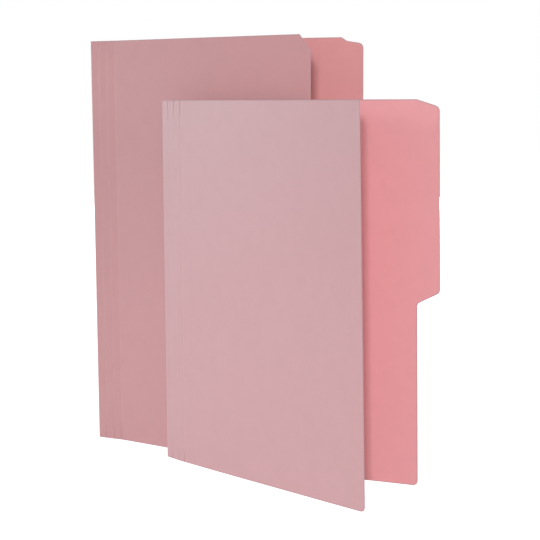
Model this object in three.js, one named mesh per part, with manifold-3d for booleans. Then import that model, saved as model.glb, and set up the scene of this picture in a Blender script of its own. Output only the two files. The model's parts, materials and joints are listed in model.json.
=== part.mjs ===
import * as THREE from 'three';
import { mergeVertices } from 'three/addons/utils/BufferGeometryUtils.js';
import Module from 'manifold-3d';

// A set of two expanding card folders, a short one in front of a long one.
// Each folder is one sheet of scored card: a back panel with an index tab, a narrow folded
// spine, three expansion strips between pressed scores, and a cover. Every zone of the sheet
// is its own solid, and two zones meet at a crease that lets one swing about the other.
// Millimetres, +Z up. The folders stand on a short side, so each crease is a vertical line.

// Card stock
const cardThickness = 0.3;
const creaseGap = 0.5; // free width at a crease, so the two edges clear each other when folded
const scoreDepth = 0.1; // how far the score is pressed into the outer face
const scoreShoulder = 0.45; // width of the pressed ramp beside a crease
const creaseEdgeRadius = 0.08;

// The sheet, the same on both folders
const panelWidth = 217; // fold to free edge, on the cover and on the back panel below the tab
const spineWidth = 2;
const stripWidth = 7.8;
const stripCount = 3;
const bottomCornerRadius = 4;
const topCornerRadius = 0.8;

// The index tab, on the upper part of the back panel's free edge
const tabWidth = 18;
const tabLowerDrop = 9.2; // how far the tab's lower edge slopes over its width
const tabOuterRadius = 4.5;
const tabInnerRadius = 3.5;
const tabTopRadius = 2;

// Each folder stands open by openAngle between its back panel and its strips, in degrees.
// scoreAngles are the bends already set at the three scores, positive towards the back panel.
const shortFolder = {
  name: 'short_folder',
  height: 295,
  tabLength: 152.5,
  tabShoulderDrop: 5.5,
  tabShoulderStep: null,
  openAngle: 24.3,
  scoreAngles: [0, 4.2, 0],
};
const longFolder = {
  name: 'long_folder',
  height: 345,
  tabLength: 177.5,
  tabShoulderDrop: 5.2,
  tabShoulderStep: { run: 4.5, drop: 3, radius: 3 },
  openAngle: 12.3,
  scoreAngles: [0, 0, -6.8],
};

// How the long folder stands behind the short one
const longFolderTurn = 11.7; // degrees between the two back panels
const longFolderSetBack = 87.5; // how far its fold stands to the left of the short one's
const coverClearance = 4; // its cover's free edge to the short folder's back panel

// Looks
const cardColor = 0xdd9c9e;
const cardRoughness = 0.85;
const arcSegments = 8;
const creaseArcSegments = 3;

const wasm = await Module();
wasm.setup();

const radians = THREE.MathUtils.degToRad;

// Booleans
function solidOf(geometry) {
  const bare = geometry.clone();
  bare.deleteAttribute('normal');
  bare.deleteAttribute('uv');
  const merged = mergeVertices(bare, 1e-5);
  return new wasm.Manifold(new wasm.Mesh({
    numProp: 3,
    vertProperties: new Float32Array(merged.attributes.position.array),
    triVerts: new Uint32Array(merged.index.array),
  }));
}

function geometryOf(solid) {
  const mesh = solid.getMesh();
  const geometry = new THREE.BufferGeometry();
  geometry.setAttribute('position', new THREE.BufferAttribute(mesh.vertProperties, 3));
  geometry.setIndex(new THREE.BufferAttribute(mesh.triVerts, 1));
  geometry.computeVertexNormals();
  return geometry;
}

// Outlines
// A closed outline, counter-clockwise, through corners { x, y, radius }.
function roundedOutline(corners) {
  const outline = new THREE.Shape();
  const at = (i) => corners[(i + corners.length) % corners.length];
  corners.forEach((corner, i) => {
    const arc = corner.radius ? cornerArc(at(i - 1), corner, at(i + 1)) : null;
    const { x, y } = arc ? arc.from : corner;
    if (i === 0) outline.moveTo(x, y);
    else outline.lineTo(x, y);
    if (arc) outline.absarc(arc.centre.x, arc.centre.y, corner.radius, arc.start, arc.end, arc.turnsRight);
  });
  return outline;
}

function cornerArc(before, corner, after) {
  const here = new THREE.Vector2(corner.x, corner.y);
  const back = new THREE.Vector2(before.x, before.y).sub(here).normalize();
  const on = new THREE.Vector2(after.x, after.y).sub(here).normalize();
  const halfAngle = Math.acos(back.dot(on)) / 2;
  const reach = corner.radius / Math.tan(halfAngle);
  const middle = back.clone().add(on).normalize().multiplyScalar(corner.radius / Math.sin(halfAngle));
  const centre = here.clone().add(middle);
  const from = here.clone().addScaledVector(back, reach);
  const to = here.clone().addScaledVector(on, reach);
  return {
    centre,
    from,
    start: from.clone().sub(centre).angle(),
    end: to.sub(centre).angle(),
    turnsRight: back.cross(on) > 0,
  };
}

// A zone of card seen from above, from its edge at one crease (start) to the other (end).
// The inner face is on +Y, and the outer face ramps in where the score is pressed.
function zoneProfile(start, end) {
  const outer = -cardThickness / 2;
  const inner = cardThickness / 2;
  const radius = creaseEdgeRadius;
  return roundedOutline([
    { x: start, y: outer + scoreDepth, radius },
    { x: start + scoreShoulder, y: outer },
    { x: end - scoreShoulder, y: outer },
    { x: end, y: outer + scoreDepth, radius },
    { x: end, y: inner, radius },
    { x: start, y: inner, radius },
  ]);
}

function coverOutline(folder, width) {
  const overlap = cardThickness;
  return roundedOutline([
    { x: -overlap, y: 0 },
    { x: width, y: 0, radius: bottomCornerRadius },
    { x: width, y: folder.height, radius: topCornerRadius },
    { x: -overlap, y: folder.height },
  ]);
}

// The back panel from outside the fold, with the tab on its free edge.
function backOutline(folder) {
  const overlap = cardThickness;
  const top = folder.height;
  const tabEdge = panelWidth + tabWidth;
  const tabFoot = top - folder.tabLength;
  const step = folder.tabShoulderStep;
  const stepCorner = step && { x: panelWidth + step.run, y: top - step.drop, radius: step.radius };
  return roundedOutline([
    { x: -overlap, y: 0 },
    { x: panelWidth, y: 0, radius: bottomCornerRadius },
    { x: panelWidth, y: tabFoot, radius: tabInnerRadius },
    { x: tabEdge, y: tabFoot + tabLowerDrop, radius: tabOuterRadius },
    { x: tabEdge, y: top - folder.tabShoulderDrop, radius: tabOuterRadius },
    ...(stepCorner ? [stepCorner] : []),
    { x: panelWidth, y: top, radius: tabTopRadius },
    { x: -overlap, y: top },
  ]);
}

// Solids
// A strip of card between two creases, one zone width apart.
function stripGeometry(width, height) {
  const profile = zoneProfile(creaseGap / 2, width - creaseGap / 2);
  return new THREE.ExtrudeGeometry(profile, {
    depth: height,
    bevelEnabled: false,
    curveSegments: creaseArcSegments,
  });
}

// A panel cut from card to its outline, with its crease edge pressed and rounded as a strip's is.
// insideSide is +1 where the inner face looks along +Y, and -1 where it looks along -Y.
function panelGeometry(outline, width, height, insideSide) {
  const blank = new THREE.ExtrudeGeometry(outline, {
    depth: 2 * cardThickness,
    bevelEnabled: false,
    curveSegments: arcSegments,
  });
  blank.rotateX(Math.PI / 2);
  blank.translate(0, cardThickness, 0);
  const farEnd = width + scoreShoulder + cardThickness;
  const sheet = new THREE.ExtrudeGeometry(zoneProfile(creaseGap / 2, farEnd), {
    depth: height,
    bevelEnabled: false,
    curveSegments: creaseArcSegments,
  });
  let slab = solidOf(sheet);
  if (insideSide < 0) slab = slab.mirror([0, 1, 0]);
  return geometryOf(slab.intersect(solidOf(blank)));
}

function cardPiece(name, geometry) {
  const material = new THREE.MeshStandardMaterial({
    color: cardColor,
    roughness: cardRoughness,
    metalness: 0,
  });
  const mesh = new THREE.Mesh(geometry, material);
  mesh.name = name;
  return mesh;
}

// Creases
// A frame at a crease: what is added to it starts there, bent by the given angle in degrees.
function crease(parent, name, distance, bend) {
  const frame = new THREE.Group();
  frame.name = name;
  frame.position.x = distance;
  frame.rotation.z = radians(bend);
  parent.add(frame);
  return frame;
}

// The two creases of the spine share the turn from the back panel to the strips.
function spineBend(folder) {
  return (180 - folder.openAngle) / 2;
}

function coverWidth() {
  return panelWidth - stripCount * stripWidth;
}

// The free edge of the cover, from above, in the folder's own frame.
function coverEdge(folder) {
  const along = (length, angle) => new THREE.Vector2(length, 0).rotateAround(new THREE.Vector2(), radians(angle));
  let angle = 180 + spineBend(folder);
  const edge = along(spineWidth, angle);
  angle += spineBend(folder);
  for (const bend of folder.scoreAngles) {
    edge.add(along(stripWidth, angle));
    angle += bend;
  }
  return edge.add(along(coverWidth(), angle));
}

// One folder, its fold crease on the Z axis and its back panel along +X, open towards -Y.
function buildFolder(folder) {
  const { name, height } = folder;
  const sheet = new THREE.Group();
  const back = panelGeometry(backOutline(folder), panelWidth + tabWidth, height, -1);
  sheet.add(cardPiece(`${name}_back_panel`, back));

  let zone = crease(sheet, `${name}_fold`, 0, 180 + spineBend(folder));
  zone.add(cardPiece(`${name}_spine`, stripGeometry(spineWidth, height)));

  let width = spineWidth;
  let bend = spineBend(folder);
  for (let i = 1; i <= stripCount; i++) {
    zone = crease(zone, `${name}_crease_${i}`, width, bend);
    zone.add(cardPiece(`${name}_expansion_strip_${i}`, stripGeometry(stripWidth, height)));
    width = stripWidth;
    bend = folder.scoreAngles[i - 1];
  }

  zone = crease(zone, `${name}_cover_score`, width, bend);
  const cover = panelGeometry(coverOutline(folder, coverWidth()), coverWidth(), height, 1);
  zone.add(cardPiece(`${name}_cover`, cover));
  return sheet;
}

// The set
function buildSet() {
  const set = new THREE.Group();
  const inFront = buildFolder(shortFolder);
  const behind = buildFolder(longFolder);
  const edge = coverEdge(longFolder).rotateAround(new THREE.Vector2(), radians(longFolderTurn));
  behind.rotation.z = radians(longFolderTurn);
  behind.position.x = -longFolderSetBack;
  behind.position.y = coverClearance - edge.y;
  set.add(inFront, behind);
  return set;
}

// The origin is on the surface that the set stands on, under the middle of its box.
function centred(set) {
  set.updateMatrixWorld(true);
  const box = new THREE.Box3().setFromObject(set, true);
  const middle = box.getCenter(new THREE.Vector3());
  const root = new THREE.Group();
  set.position.set(-middle.x, -middle.y, -box.min.z);
  root.add(set);
  root.updateMatrixWorld(true);
  return root;
}

export default centred(buildSet());
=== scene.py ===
import json
import math

import bpy
import numpy as np
from mathutils import Matrix, Vector


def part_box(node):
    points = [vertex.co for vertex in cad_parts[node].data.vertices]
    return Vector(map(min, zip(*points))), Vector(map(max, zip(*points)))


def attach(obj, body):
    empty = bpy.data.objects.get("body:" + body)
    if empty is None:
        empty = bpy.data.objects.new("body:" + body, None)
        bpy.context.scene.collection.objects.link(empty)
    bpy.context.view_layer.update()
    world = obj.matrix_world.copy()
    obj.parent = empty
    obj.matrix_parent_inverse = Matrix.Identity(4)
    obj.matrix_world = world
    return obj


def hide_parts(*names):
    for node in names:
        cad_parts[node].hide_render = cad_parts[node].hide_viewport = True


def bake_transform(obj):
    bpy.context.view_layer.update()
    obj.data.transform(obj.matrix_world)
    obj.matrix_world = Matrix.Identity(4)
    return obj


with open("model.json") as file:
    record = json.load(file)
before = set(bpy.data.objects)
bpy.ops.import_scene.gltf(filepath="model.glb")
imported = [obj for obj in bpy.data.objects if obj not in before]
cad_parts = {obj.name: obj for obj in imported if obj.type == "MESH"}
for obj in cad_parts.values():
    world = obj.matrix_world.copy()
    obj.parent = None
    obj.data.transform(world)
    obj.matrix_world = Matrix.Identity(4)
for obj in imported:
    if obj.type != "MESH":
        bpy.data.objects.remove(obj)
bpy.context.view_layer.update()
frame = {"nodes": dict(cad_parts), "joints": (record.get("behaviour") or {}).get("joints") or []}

# A set of two expanding card folders, a short one in front of a long one, dressed round the
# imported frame. Each zone of card is a thin curved sheet with rounded cut edges, and a small
# bead of card carries it over each crease. Metres, +Z up.

MM = 0.001

# Card stock
CARD_THICKNESS = 0.3 * MM
CREASE_END = 0.25 * MM  # from a crease's axis to where the card on either side starts
SCORE_DEPTH = 0.1 * MM
SCORE_SHOULDER = 0.45 * MM
CUT_ROUNDING = 0.05 * MM

# The sheet's outline, as in the frame
PANEL_WIDTH = 217 * MM
TAB_WIDTH = 18 * MM
BOTTOM_RADIUS = 4 * MM
TOP_RADIUS = 0.8 * MM
TAB_LOWER_DROP = 9.2 * MM
TAB_OUTER_RADIUS = 4.5 * MM
TAB_INNER_RADIUS = 3.5 * MM
TAB_TOP_RADIUS = 2 * MM

# Mesh density
ROW_STEP = 5 * MM
COLUMN_STEP = 5 * MM
EDGE_STEPS = [s * MM for s in (0, 0.25, 0.6, 1.1, 1.8, 3)]
ARC_STEPS = 8

# What differs between the two folders. warp is how far the free edge stands off the flat panel
# at the bottom and at the top, positive towards the inner face, and bow is its belly halfway.
# shoulder_step is the run, drop and radius of a step in the tab's shoulder, and
# cover_corner_cut the run and drop of a slanted cut at the cover's top corner.
FOLDERS = {
    "short": {
        "tab_length": 152.5 * MM,
        "shoulder_drop": 5.5 * MM,
        "shoulder_step": None,
        "cover_corner_cut": None,
        "cover_warp": (4.3 * MM, -4.4 * MM),
        "cover_bow": (0.5 * MM, -0.6 * MM),
        "back_warp": (-4.6 * MM, 6.3 * MM),
        "back_bow": (1.5 * MM, 0),
        # In both folders the card is one pink through: the outer face's darker, greyer pink is
        # painted shade and painted sheen on the covers.
        "inner_pink": (230, 162, 167),
        "outer_pink": (202, 157, 161),
    },
    "long": {
        "tab_length": 177.5 * MM,
        "shoulder_drop": 5.2 * MM,
        "shoulder_step": (4.5 * MM, 3 * MM, 3 * MM),
        "cover_corner_cut": (10 * MM, 12.5 * MM),
        "cover_warp": (0, -0.5 * MM),
        "cover_bow": (-1.1 * MM, -0.4 * MM),
        "back_warp": (0.3 * MM, 3.9 * MM),
        "back_bow": (0, 0),
        # Deeper than the short folder's pink: partly the card's own colour, partly painted shade
        # on the rear folder.
        "inner_pink": (211, 146, 148),
        "outer_pink": (200, 148, 151),
    },
}
STRIPS = 3
CREASE_JOINTS = ("fold", "expand", "score_1", "score_2", "cover_score")

# The camera, fitted to the folders' corners in the photograph
IMAGE_SIZE = 540
FOCAL_PIXELS = 1313.4
CAMERA_PLACE = (461.62 * MM, -930.36 * MM, 296.58 * MM)
CAMERA_YAW = math.radians(25.38)
CAMERA_PITCH = math.radians(-7.469)
CAMERA_ROLL = math.radians(-0.299)
SENSOR_WIDTH = 36
CAMERA_CLIP = (0.05, 50)

# Colours, as sRGB
# The cut edges' darker greyish pink, which also fades onto the card along them, is painted shade
# at the edges.
CUT_EDGE_PINK = (184, 146, 152)


def linear(srgb):
    """An sRGB colour of 0 to 255 as Blender's linear colour."""
    def one(v):
        v = v / 255
        return v / 12.92 if v <= 0.04045 else ((v + 0.055) / 1.055) ** 2.4
    return [one(v) for v in srgb] + [1.0]


# Reading the frame
def joint_place(name):
    joint = next(j for j in frame["joints"] if j["name"] == name)
    return Vector(joint["pos_m"][:2])


def far_end(node, start):
    """The middle, from above, of the node's edge that is furthest from start."""
    points = [Vector(v.co[:2]) for v in frame["nodes"][node].data.vertices]
    reach = max((p - start).length for p in points)
    edge = [p for p in points if (p - start).length > reach - 2 * CARD_THICKNESS]
    return sum(edge, Vector((0, 0))) / len(edge)


def turned_left(v):
    return Vector((-v.y, v.x))


def zones_of(which):
    """The folder's zones in order from the back panel to the cover, each with its plan line."""
    creases = [joint_place(f"{which}_{name}") for name in CREASE_JOINTS]
    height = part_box(f"{which}_folder_cover")[1].z
    zones = []

    def add(body, node, start, end, side, width=None):
        along = (end - start).normalized()
        zones.append({
            "body": f"{which}_{body}",
            "node": f"{which}_folder_{node}",
            "start": start,
            "along": along,
            "inward": side * turned_left(along),
            "width": width or (end - start).length,
            "height": height,
        })

    back = f"{which}_folder_back_panel"
    add("back", "back_panel", creases[0], far_end(back, creases[0]), -1, PANEL_WIDTH)
    add("spine", "spine", creases[0], creases[1], 1)
    for i in range(1, STRIPS + 1):
        add(f"strip_{i}", f"expansion_strip_{i}", creases[i], creases[i + 1], 1)
    strips = sum(zone["width"] for zone in zones[2:])
    cover = f"{which}_folder_cover"
    add("cover", "cover", creases[-1], far_end(cover, creases[-1]), 1, PANEL_WIDTH - strips)
    return zones


# Outlines
def rounded(corners):
    """Points along an open outline through corners (s, z, radius), its corners rounded."""
    points = [np.array(corners[0][:2])]
    for before, corner, after in zip(corners, corners[1:], corners[2:]):
        here = np.array(corner[:2])
        back = np.array(before[:2]) - here
        on = np.array(after[:2]) - here
        back = back / np.linalg.norm(back)
        on = on / np.linalg.norm(on)
        half = math.acos(float(back @ on)) / 2
        middle = (back + on) / np.linalg.norm(back + on)
        centre = here + middle * corner[2] / math.sin(half)
        first = here + back * corner[2] / math.tan(half) - centre
        last = here + on * corner[2] / math.tan(half) - centre
        start = math.atan2(first[1], first[0])
        turn = math.atan2(last[1], last[0]) - start
        turn = (turn + math.pi) % (2 * math.pi) - math.pi
        for i in range(ARC_STEPS + 1):
            angle = start + turn * i / ARC_STEPS
            points.append(centre + corner[2] * np.array([math.cos(angle), math.sin(angle)]))
    points.append(np.array(corners[-1][:2]))
    return np.array(points)


def cover_edge(folder, width, height):
    """The cover's free edge, from the bottom to the top."""
    run, drop = folder["cover_corner_cut"] or (0, 0)
    corners = [(0, 0, 0), (width, 0, BOTTOM_RADIUS), (width, height - drop, TOP_RADIUS)]
    if run:
        corners.append((width - run, height, TOP_RADIUS))
    return rounded(corners + [(0, height, 0)])[1:-1]


def back_edge(folder, height):
    """The back panel's free edge with its tab, from the bottom to the top."""
    tab = PANEL_WIDTH + TAB_WIDTH
    foot = height - folder["tab_length"]
    corners = [
        (0, 0, 0),
        (PANEL_WIDTH, 0, BOTTOM_RADIUS),
        (PANEL_WIDTH, foot, TAB_INNER_RADIUS),
        (tab, foot + TAB_LOWER_DROP, TAB_OUTER_RADIUS),
        (tab, height - folder["shoulder_drop"], TAB_OUTER_RADIUS),
    ]
    if folder["shoulder_step"]:
        run, drop, radius = folder["shoulder_step"]
        corners.append((PANEL_WIDTH + run, height - drop, radius))
    corners += [(PANEL_WIDTH, height, TAB_TOP_RADIUS), (0, height, 0)]
    return rounded(corners)[1:-1]


def straight_edge(width, height):
    return np.array([(width - CREASE_END, 0), (width - CREASE_END, height)])


# Sheets
def spaced(length, step, extra=()):
    """Places from 0 to length, close together at both ends, with the extra ones kept."""
    count = max(1, round(length / step))
    places = [length * i / count for i in range(count + 1)]
    close = [s for s in EDGE_STEPS if s < length / 2]
    places += close + [length - s for s in close] + list(extra)
    kept = []
    for place in sorted(places):
        if not kept or place - kept[-1] > CUT_ROUNDING:
            kept.append(place)
    kept[-1] = length
    return np.array(kept)


def press(distance):
    """How far the outer face is pressed in, this far from where the card meets a crease."""
    return SCORE_DEPTH * np.clip(1 - distance / SCORE_SHOULDER, 0, 1)


def edge_distance(points, edge, height):
    """Each point's distance to the nearest cut edge: the free edge, the top or the bottom."""
    nearest = np.minimum(points[:, 1], height - points[:, 1])
    if len(edge) > 2:
        for a, b in zip(edge, edge[1:]):
            span = b - a
            t = np.clip(((points - a) @ span) / max(span @ span, 1e-15), 0, 1)
            nearest = np.minimum(nearest, np.linalg.norm(points - a - t[:, None] * span, axis=1))
    return nearest


def boundary(rows, columns):
    """The grid's outermost vertices, once round."""
    bottom = [(0, c) for c in range(columns)]
    right = [(r, columns - 1) for r in range(1, rows)]
    top = [(rows - 1, c) for c in range(columns - 2, -1, -1)]
    left = [(r, 0) for r in range(rows - 2, 0, -1)]
    return [r * columns + c for r, c in bottom + right + top + left]


def sheet_points(zone, edge):
    """The grid in the sheet's own plane: along from the crease, and up."""
    heights = spaced(zone["height"], ROW_STEP, edge[:, 1])
    reach = np.interp(heights, edge[:, 1], edge[:, 0])
    shares = spaced(zone["width"], COLUMN_STEP) / zone["width"]
    along = CREASE_END + shares[None, :] * (reach[:, None] - CREASE_END)
    up = np.repeat(heights[:, None], len(shares), axis=1)
    return np.stack([along, up], axis=2).reshape(-1, 2), len(heights), len(shares)


def stand_off(points, zone, warp, bow):
    """How far the bent card stands off its flat panel, positive towards the inner face."""
    share = points[:, 0] / PANEL_WIDTH
    level = points[:, 1] / zone["height"]
    lean = warp[0] + (warp[1] - warp[0]) * level
    belly = bow[0] + (bow[1] - bow[0]) * level
    return lean * share ** 2 + belly * np.sin(math.pi * np.clip(share, 0, 1)) ** 2


def build_sheet(zone, stock, edge, warp=(0, 0), bow=(0, 0)):
    """A zone of card as one closed thin sheet, with both faces and rounded cut edges."""
    flat, rows, columns = sheet_points(zone, edge)
    bent = stand_off(flat, zone, warp, bow)
    from_crease = flat[:, 0] - CREASE_END
    if len(edge) == 2:  # a strip, which has a crease on its far side too
        from_crease = np.minimum(from_crease, edge[0, 0] - flat[:, 0])
    inner = bent + CARD_THICKNESS / 2
    outer = bent - CARD_THICKNESS / 2 + press(from_crease)

    ring = boundary(rows, columns)
    loop = flat[ring]
    tangent = np.roll(loop, -1, axis=0) - np.roll(loop, 1, axis=0)
    outward = np.stack([tangent[:, 1], -tangent[:, 0]], axis=1)
    outward /= np.linalg.norm(outward, axis=1)[:, None]
    inset = flat.copy()
    inset[ring] -= outward * CUT_ROUNDING

    start, along, inward = zone["start"], zone["along"], zone["inward"]

    def place(points, off):
        x = start.x + along.x * points[:, 0] + inward.x * off
        y = start.y + along.y * points[:, 0] + inward.y * off
        return np.stack([x, y, points[:, 1]], axis=1)

    middle = (inner[ring] + outer[ring]) / 2
    vertices = np.concatenate([place(inset, inner), place(inset, outer), place(loop, middle)])
    count = rows * columns
    faces, slots = [], []
    for r in range(rows - 1):
        for c in range(columns - 1):
            a = r * columns + c
            quad = (a, a + 1, a + columns + 1, a + columns)
            faces.append(quad)
            slots.append(0)
            faces.append(tuple(count + v for v in reversed(quad)))
            slots.append(1)
    for i in range(len(ring)):
        j = (i + 1) % len(ring)
        rim = 2 * count
        faces.append((ring[j], ring[i], rim + i, rim + j))
        slots.append(2)
        faces.append((count + ring[i], count + ring[j], rim + j, rim + i))
        slots.append(2)
    facing_in = along.x * inward.y - along.y * inward.x < 0
    if not facing_in:
        faces = [tuple(reversed(f)) for f in faces]
    cut = edge_distance(flat, edge, zone["height"])
    marks = {
        "cut_mm": np.concatenate([cut, cut, np.zeros(len(ring))]) / MM,
        "crease_mm": np.concatenate([from_crease, from_crease, from_crease[ring]]) / MM,
    }
    return make_piece(zone["node"].replace("folder", "card"), stock, vertices, faces, slots, marks)


def linked(name, data):
    """A new object of the data, in the scene."""
    made = bpy.data.objects.new(name, data)
    bpy.context.scene.collection.objects.link(made)
    return made


def make_piece(name, stock, vertices, faces, slots, marks):
    """A piece of card. marks holds a value for each vertex, for the material to read."""
    mesh = bpy.data.meshes.new(name)
    mesh.from_pydata([tuple(v) for v in vertices], [], faces)
    for material in stock:
        mesh.materials.append(material)
    mesh.polygons.foreach_set("material_index", slots)
    mesh.polygons.foreach_set("use_smooth", [True] * len(faces))
    for mark, values in marks.items():
        attribute = mesh.attributes.new(mark, "FLOAT", "POINT")
        attribute.data.foreach_set("value", np.asarray(values, np.float32))
    mesh.update()
    piece = linked(name, mesh)
    return piece


# Crease beads
BEAD_REACH = 0.62 * MM  # how far a bead runs into the card on either side
BEAD_HALF = 0.11 * MM
BEAD_SWELL = 0.05 * MM  # the ridge that the score raises on the inner face
BEAD_STEPS = 10
BEAD_SHARPEST = 0.3  # keeps the bead's middle near the crease when the card is folded tight
BEAD_CUT_MM = 9.0  # counts as far from any cut, so that a bead shows none of the painted shade along cut edges


def bead_line(first, second):
    """The bead's middle line from above, and the inward direction at each of its points."""
    pressed = SCORE_DEPTH / 2
    corner = second["start"]
    back = first["along"] if first["node"].endswith("back_panel") else -first["along"]
    a_in, b_in = first["inward"], second["inward"]
    turn = (a_in + b_in).normalized()
    a_far = corner + back * BEAD_REACH + a_in * pressed
    b_far = corner + second["along"] * BEAD_REACH + b_in * pressed
    a_near = corner + back * CREASE_END + a_in * pressed
    b_near = corner + second["along"] * CREASE_END + b_in * pressed
    middle = corner + turn * pressed / max(turn.dot(a_in), BEAD_SHARPEST)
    line, inward = [a_far], [a_in]
    for i in range(BEAD_STEPS + 1):
        t = i / BEAD_STEPS
        line.append(a_near * (1 - t) ** 2 + middle * 2 * t * (1 - t) + b_near * t ** 2)
        inward.append((a_in * (1 - t) + b_in * t).normalized())
    line.append(b_far)
    inward.append(b_in)
    return line, inward, a_near, b_near


def build_bead(first, second, name, stock):
    """The card that turns at a crease, between two zones, as one narrow closed strip."""
    line, inward, start, end = bead_line(first, second)
    height = first["height"]
    swell = [BEAD_SWELL * math.sin(math.pi * i / (len(line) - 1)) ** 2 for i in range(len(line))]
    inner = [p + n * (BEAD_HALF + s) for p, n, s in zip(line, inward, swell)]
    outer = [p - n * BEAD_HALF for p, n in zip(line, inward)]
    loop = inner + outer[::-1]
    rows = 1 + round(height / (4 * ROW_STEP))
    levels = np.linspace(CUT_ROUNDING, height - CUT_ROUNDING, rows)
    vertices = [(p.x, p.y, z) for z in levels for p in loop]
    count = len(loop)
    half = len(line)
    faces, slots = [], []
    for level in range(len(levels) - 1):
        for i in range(count):
            j = (i + 1) % count
            a, b = level * count + i, level * count + j
            faces.append((a, a + count, b + count, b))
            slots.append(0 if i < half - 1 else 1)
    top = (len(levels) - 1) * count
    for i in range(half - 1):
        ring = (i, i + 1, count - 2 - i, count - 1 - i)
        faces.append(ring)
        faces.append(tuple(top + v for v in reversed(ring)))
        slots += [2, 2]
    area = sum(a.x * b.y - b.x * a.y for a, b in zip(loop, loop[1:] + loop[:1]))
    if area > 0:
        faces = [tuple(reversed(f)) for f in faces]
    marks = {
        "cut_mm": np.full(len(vertices), BEAD_CUT_MM),
        "crease_mm": np.zeros(len(vertices)),
    }
    bead = make_piece(name, stock, vertices, faces, slots, marks)
    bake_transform(bead)
    return bead


# Card material
MOTTLE_SCALE = 90
FIBRE_SCALE = 1400
FIBRE_STRETCH = (1, 1, 0.22)
GRAIN_SCALE = 5200
DEEP = 0.965  # the deep pink, as a share of the base colour
PALE = 0.16  # the pale pink, as a share of the way from the base colour to white
CARD_IOR = 1.46
INNER_ROUGHNESS = 0.72
OUTER_ROUGHNESS = 0.46
CUT_ROUGHNESS = 0.85
ROUGHNESS_SPREAD = 0.06
ROUGHNESS_FIBRE = (0.3, 0.8)
BUMP_STRENGTH = 0.35
BUMP_DEPTH = 0.06 * MM

# Layers of colour: the noise at which one starts to show, at which it shows in full, and how
# strongly it then shows. The last two are given in mm from the cut or crease and fade outward:
# painted shade that darkens the card along its cut edges, and a painted highlight that pales it
# along its creases.
CLOUDS = (0.35, 0.75, 0.3)
FIBRES = (0.58, 0.78, 0.22)
GRAINS = (0.6, 0.8, 0.35)
# painted shade: the card darkens towards the cut edges' pink near its cuts
CUT_EDGE_SHADE = (0.3, 1.1, 0.8)
# painted highlight: the card turns paler near its creases
CREASE_HIGHLIGHT = (0.1, 0.7, 0.15)


class Nodes:
    """Adds shader nodes to one material or world, emptied first, and links them."""

    def __init__(self, owner):
        owner.use_nodes = True
        self.tree = owner.node_tree
        self.tree.nodes.clear()

    def add(self, kind, **values):
        node = self.tree.nodes.new(kind)
        for key, value in values.items():
            if hasattr(node, key):
                setattr(node, key, value)
            else:
                node.inputs[key].default_value = value
        return node

    def link(self, source, target):
        self.tree.links.new(source, target)


def noise(nodes, coordinates, scale, detail, stretch=(1, 1, 1), roughness=0.55):
    mapping = nodes.add("ShaderNodeMapping")
    mapping.inputs["Scale"].default_value = stretch
    nodes.link(coordinates, mapping.inputs["Vector"])
    made = nodes.add("ShaderNodeTexNoise", Scale=scale, Detail=detail, Roughness=roughness)
    nodes.link(mapping.outputs["Vector"], made.inputs["Vector"])
    return made.outputs["Fac"]


def ramp(nodes, source, low, high, low_value, high_value):
    """source between low and high, turned into a value between low_value and high_value."""
    made = nodes.add("ShaderNodeMapRange", interpolation_type="SMOOTHSTEP")
    limits = {"From Min": low, "From Max": high, "To Min": low_value, "To Max": high_value}
    for key, value in limits.items():
        made.inputs[key].default_value = value
    nodes.link(source, made.inputs["Value"])
    return made.outputs["Result"]


def rising(nodes, source, layer):
    low, high, strength = layer
    return ramp(nodes, source, low, high, 0, strength)


def fading(nodes, source, layer):
    low, high, strength = layer
    return ramp(nodes, source, low, high, strength, 0)


def tinted(nodes, below, color, factor):
    """below mixed with a plain colour by a varying factor."""
    mix = nodes.add("ShaderNodeMix", data_type="RGBA")
    nodes.link(factor, mix.inputs["Factor"])
    if isinstance(below, list):
        mix.inputs["A"].default_value = below
    else:
        nodes.link(below, mix.inputs["A"])
    mix.inputs["B"].default_value = color
    return mix.outputs["Result"]


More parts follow.
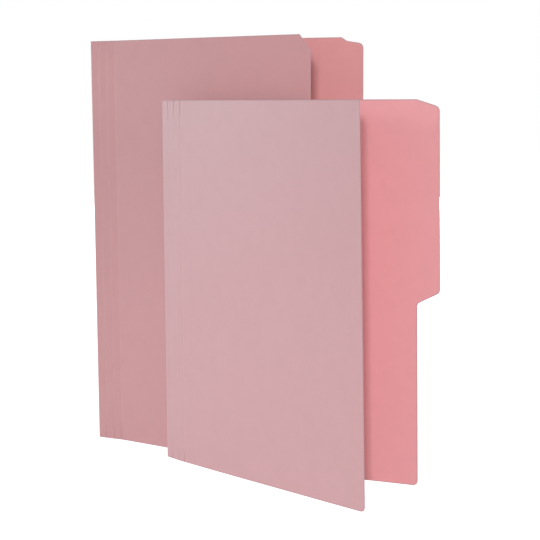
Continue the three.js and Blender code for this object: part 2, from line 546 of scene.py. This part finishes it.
def card_material(name, srgb, roughness):
    """Dyed card: cloudy mottling, short fibres, a pressed grain, painted shade at the cuts and a
    painted highlight at the creases.
    """
    material = bpy.data.materials.new(name)
    nodes = Nodes(material)
    place = nodes.add("ShaderNodeTexCoord").outputs["Object"]
    base = linear(srgb)
    deep = linear([v * DEEP for v in srgb])
    pale = linear([v + (255 - v) * PALE for v in srgb])
    edge = linear(CUT_EDGE_PINK)
    cloud = noise(nodes, place, MOTTLE_SCALE, 4)
    fibre = noise(nodes, place, FIBRE_SCALE, 3, stretch=FIBRE_STRETCH)
    grain = noise(nodes, place, GRAIN_SCALE, 2)
    color = tinted(nodes, base, deep, rising(nodes, cloud, CLOUDS))
    color = tinted(nodes, color, pale, rising(nodes, fibre, FIBRES))
    color = tinted(nodes, color, deep, rising(nodes, grain, GRAINS))
    cut = nodes.add("ShaderNodeAttribute", attribute_name="cut_mm").outputs["Fac"]
    crease = nodes.add("ShaderNodeAttribute", attribute_name="crease_mm").outputs["Fac"]
    # painted shade along the cut edges
    color = tinted(nodes, color, edge, fading(nodes, cut, CUT_EDGE_SHADE))
    # painted highlight along the creases
    color = tinted(nodes, color, pale, fading(nodes, crease, CREASE_HIGHLIGHT))
    shader = nodes.add("ShaderNodeBsdfPrincipled")
    nodes.link(color, shader.inputs["Base Color"])
    smooth, rough = roughness - ROUGHNESS_SPREAD, roughness + ROUGHNESS_SPREAD
    nodes.link(ramp(nodes, fibre, *ROUGHNESS_FIBRE, smooth, rough), shader.inputs["Roughness"])
    shader.inputs["IOR"].default_value = CARD_IOR
    height = nodes.add("ShaderNodeMath", operation="ADD")
    nodes.link(grain, height.inputs[0])
    nodes.link(fibre, height.inputs[1])
    bump = nodes.add("ShaderNodeBump", Strength=BUMP_STRENGTH, Distance=BUMP_DEPTH)
    nodes.link(height.outputs["Value"], bump.inputs["Height"])
    nodes.link(bump.outputs["Normal"], shader.inputs["Normal"])
    output = nodes.add("ShaderNodeOutputMaterial")
    nodes.link(shader.outputs["BSDF"], output.inputs["Surface"])
    return material


def stock_of(which):
    """The materials of a folder's inner face, outer face and cut edges."""
    folder = FOLDERS[which]
    return [
        card_material(f"{which}_inner_face", folder["inner_pink"], INNER_ROUGHNESS),
        card_material(f"{which}_outer_face", folder["outer_pink"], OUTER_ROUGHNESS),
        card_material(f"{which}_cut_edge", CUT_EDGE_PINK, CUT_ROUGHNESS),
    ]


# Building the folders
def build_folder(which):
    folder = FOLDERS[which]
    stock = stock_of(which)
    zones = zones_of(which)
    for zone in zones:
        node = zone["node"]
        if node.endswith("back_panel"):
            edge = back_edge(folder, zone["height"])
            piece = build_sheet(zone, stock, edge, folder["back_warp"], folder["back_bow"])
        elif node.endswith("cover"):
            edge = cover_edge(folder, zone["width"], zone["height"])
            piece = build_sheet(zone, stock, edge, folder["cover_warp"], folder["cover_bow"])
        else:
            piece = build_sheet(zone, stock, straight_edge(zone["width"], zone["height"]))
        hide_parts(node)
        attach(piece, zone["body"])
    for i, (first, second) in enumerate(zip(zones, zones[1:]), start=1):
        build_bead(first, second, f"{which}_crease_bead_{i}", stock)


for which in FOLDERS:
    build_folder(which)


# Stage
def light_path(nodes):
    """1 for camera, glossy and transmission rays, and 0 for the rest."""
    path = nodes.add("ShaderNodeLightPath")
    total = path.outputs["Is Camera Ray"]
    for ray in ("Is Glossy Ray", "Is Transmission Ray"):
        more = nodes.add("ShaderNodeMath", operation="MAXIMUM")
        nodes.link(total, more.inputs[0])
        nodes.link(path.outputs[ray], more.inputs[1])
        total = more.outputs["Value"]
    return total


FLOOR_HALF = 6.0
FLOOR_GLOW = 0.9
FLOOR_COLOR = (0.6, 0.6, 0.6, 1)
AMBIENT = 0.2


def build_floor():
    mesh = bpy.data.meshes.new("floor")
    h = FLOOR_HALF
    mesh.from_pydata([(-h, -h, 0), (h, -h, 0), (h, h, 0), (-h, h, 0)], [], [(0, 1, 2, 3)])
    material = bpy.data.materials.new("white_floor")
    nodes = Nodes(material)
    diffuse = nodes.add("ShaderNodeBsdfDiffuse", Color=FLOOR_COLOR)
    glow = nodes.add("ShaderNodeEmission")
    strength = nodes.add("ShaderNodeMath", operation="MULTIPLY")
    nodes.link(light_path(nodes), strength.inputs[0])
    strength.inputs[1].default_value = FLOOR_GLOW
    nodes.link(strength.outputs["Value"], glow.inputs["Strength"])
    both = nodes.add("ShaderNodeAddShader")
    nodes.link(diffuse.outputs["BSDF"], both.inputs[0])
    nodes.link(glow.outputs["Emission"], both.inputs[1])
    output = nodes.add("ShaderNodeOutputMaterial")
    nodes.link(both.outputs["Shader"], output.inputs["Surface"])
    mesh.materials.append(material)
    floor = linked("floor", mesh)


def build_world():
    world = bpy.data.worlds.new("white_room")
    bpy.context.scene.world = world
    nodes = Nodes(world)
    background = nodes.add("ShaderNodeBackground", Color=(1, 1, 1, 1))
    strength = nodes.add("ShaderNodeMapRange")
    nodes.link(light_path(nodes), strength.inputs["Value"])
    strength.inputs["To Min"].default_value = AMBIENT
    strength.inputs["To Max"].default_value = 1.0
    nodes.link(strength.outputs["Result"], background.inputs["Strength"])
    output = nodes.add("ShaderNodeOutputWorld")
    nodes.link(background.outputs["Background"], output.inputs["Surface"])


def aim(obj, place, target):
    obj.location = place
    obj.rotation_mode = "QUATERNION"
    obj.rotation_quaternion = (Vector(target) - Vector(place)).to_track_quat("-Z", "Y")


# Lamps: place and target in metres, side of the square in metres, power in watts, colour
LAMPS = {
    "key": ((1.13, -2.91, 0.80), (0.06, 0, 0.12), 0.33, 51, (1.0, 0.985, 0.965)),
    "right_fill": ((1.10, -0.30, 0.50), (0.06, 0, 0.06), 0.30, 4.8, (1.0, 0.97, 0.95)),
    "left_wash": ((-1.95, -0.62, 0.48), (-0.05, 0, 0.0), 0.5, 12, (0.80, 0.95, 1.0)),
    "back_light": ((-0.75, 2.80, 0.45), (0, 0, 0.12), 0.8, 64, (1.0, 0.985, 0.97)),
    "back_right_light": ((2.05, 2.00, 0.42), (0, 0, 0.15), 0.7, 16, (1.0, 0.985, 0.97)),
}

LOW_LAMP_PLACE = (-0.50, -0.80, 0.42)
LOW_LAMP_TARGET = (-0.03, -0.18, -0.02)
LOW_LAMP_POWER = 10
LOW_LAMP_SPREAD = math.radians(50)
LOW_LAMP_RADIUS = 0.12
LOW_LAMP_COLOR = (0.95, 1.0, 1.0)


def build_lamps():
    for name, (place, target, side, power, color) in LAMPS.items():
        light = bpy.data.lights.new(name, "AREA")
        light.shape = "SQUARE"
        light.size = side
        light.energy = power
        light.color = color
        aim(linked(name, light), place, target)


def build_low_lamp():
    """A soft spot from the left front, aimed low, so the covers are brightest near the floor."""
    light = bpy.data.lights.new("low_lamp", "SPOT")
    light.energy = LOW_LAMP_POWER
    light.spot_size = LOW_LAMP_SPREAD
    light.spot_blend = 1
    light.shadow_soft_size = LOW_LAMP_RADIUS
    light.color = LOW_LAMP_COLOR
    aim(linked("low_lamp", light), LOW_LAMP_PLACE, LOW_LAMP_TARGET)


def build_camera():
    data = bpy.data.cameras.new("camera")
    data.sensor_width = SENSOR_WIDTH
    data.lens = FOCAL_PIXELS / IMAGE_SIZE * data.sensor_width
    data.clip_start, data.clip_end = CAMERA_CLIP
    camera = linked("camera", data)
    bpy.context.scene.camera = camera
    turn = (
        Matrix.Rotation(CAMERA_YAW, 4, "Z")
        @ Matrix.Rotation(math.radians(90) + CAMERA_PITCH, 4, "X")
        @ Matrix.Rotation(CAMERA_ROLL, 4, "Z")
    )
    camera.matrix_world = Matrix.Translation(CAMERA_PLACE) @ turn


build_floor()
build_world()
build_lamps()
build_low_lamp()
build_camera()
bpy.context.scene.view_settings.view_transform = "Standard"

bpy.context.view_layer.update()
